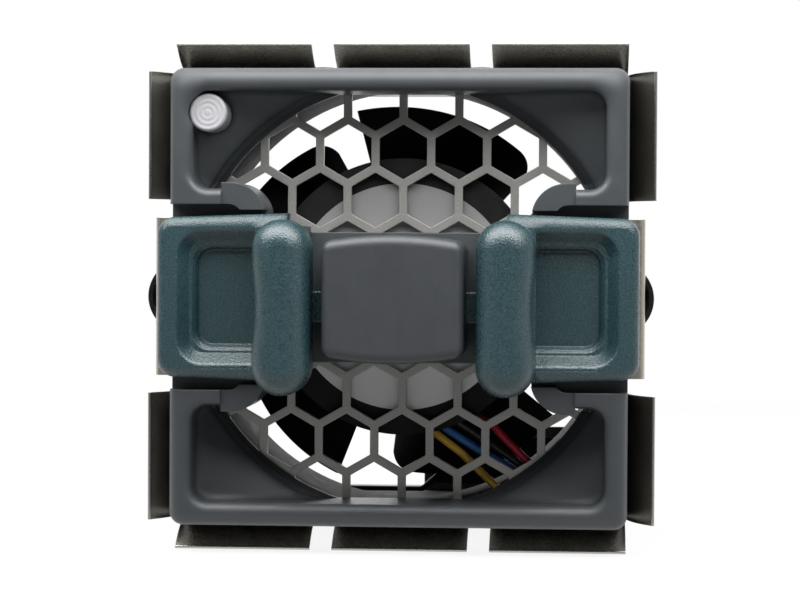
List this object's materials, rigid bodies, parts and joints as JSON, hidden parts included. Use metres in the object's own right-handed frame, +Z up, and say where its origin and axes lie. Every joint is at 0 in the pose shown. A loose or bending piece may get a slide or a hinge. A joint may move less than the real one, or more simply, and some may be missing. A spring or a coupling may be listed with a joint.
{
  "type": "switch fan tray",
  "caption": "Hot-swap fan tray for a network switch: dark grey bezel with teal pinch latches, honeycomb grille, axial fan in a sheet sleeve and spring fingers around it.",
  "frame": {"origin": "on the fan axis at the back face of the bezel, where the grille begins", "axes": "+X to the right as seen from the front, +Y into the tray towards the rear connector, +Z up"},
  "size_m": [0.092, 0.094, 0.092],
  "materials": {
    "bezel_plastic": "semi-gloss moulded",
    "cover_plastic": "satin moulded",
    "grip_plastic": "fine spark texture",
    "plated_steel": "plated sheet",
    "sleeve_steel": "zinc-coated sheet",
    "latch_steel": "plated sheet",
    "spring_steel": "bright stainless",
    "screw_steel": "zinc plated",
    "bearing_steel": "ground",
    "core_steel": "laminated sheet",
    "magnet": "bonded ferrite",
    "copper": "enamelled winding wire",
    "board": "solder mask",
    "fan_plastic": "glossy moulded",
    "label_foil": "bare silver label",
    "lens_plastic": "frosted lens",
    "lead_yellow": "insulation",
    "lead_blue": "insulation",
    "lead_black": "insulation",
    "lead_red": "insulation",
    "connector_plastic": "moulded",
    "contact_brass": "gold flash"
  },
  "bodies": {
    "tray": {"bezel": "bezel_plastic", "centre_cover": "cover_plastic", "grille": "plated_steel", "housing": "sleeve_steel", "bezel_screws": "screw_steel", "spring_fingers_top": "spring_steel", "spring_fingers_bottom": "spring_steel", "spring_fingers_left": "spring_steel", "spring_fingers_right": "spring_steel", "light_pipe": "lens_plastic", "status_board": "board", "status_lead": "lead_black", "fan_frame": "fan_plastic", "motor_base": "fan_plastic", "fan_label": "label_foil", "fan_screws": "screw_steel", "motor_board": "board", "stator_core": "core_steel", "stator_coils": "copper", "bearing_front": "bearing_steel", "bearing_rear": "bearing_steel", "lead_yellow": "lead_yellow", "lead_blue": "lead_blue", "lead_black": "lead_black", "lead_red": "lead_red", "rear_connector": "connector_plastic", "connector_contacts": "contact_brass", "connector_bracket": "sleeve_steel", "bracket_screws": "screw_steel", "latch_spring_left": "spring_steel", "latch_spring_right": "spring_steel"},
    "rotor": {"impeller": "fan_plastic", "rotor_cup": "core_steel", "magnet_ring": "magnet", "shaft": "bearing_steel", "shaft_clip": "bearing_steel"},
    "left_latch": {"grip_left": "grip_plastic", "latch_plate_left": "latch_steel", "latch_screws_left": "screw_steel"},
    "right_latch": {"grip_right": "grip_plastic", "latch_plate_right": "latch_steel", "latch_screws_right": "screw_steel"}
  },
  "joints": [
    {"name": "rotor_spin", "type": "hinge", "parent": "tray", "child": "rotor", "pos_m": [0, 0.02, 0], "axis": [0, 1, 0], "continuous": true},
    {"name": "left_latch_slide", "type": "slide", "parent": "tray", "child": "left_latch", "axis": [1, 0, 0], "range_m": [0, 0.002], "stiffness_N_per_m": 1500, "springref_m": -0.002, "deforming": ["latch_spring_left"]},
    {"name": "right_latch_slide", "type": "slide", "parent": "tray", "child": "right_latch", "axis": [-1, 0, 0], "range_m": [0, 0.002], "stiffness_N_per_m": 1500, "springref_m": -0.002, "deforming": ["latch_spring_right"]}
  ]
}
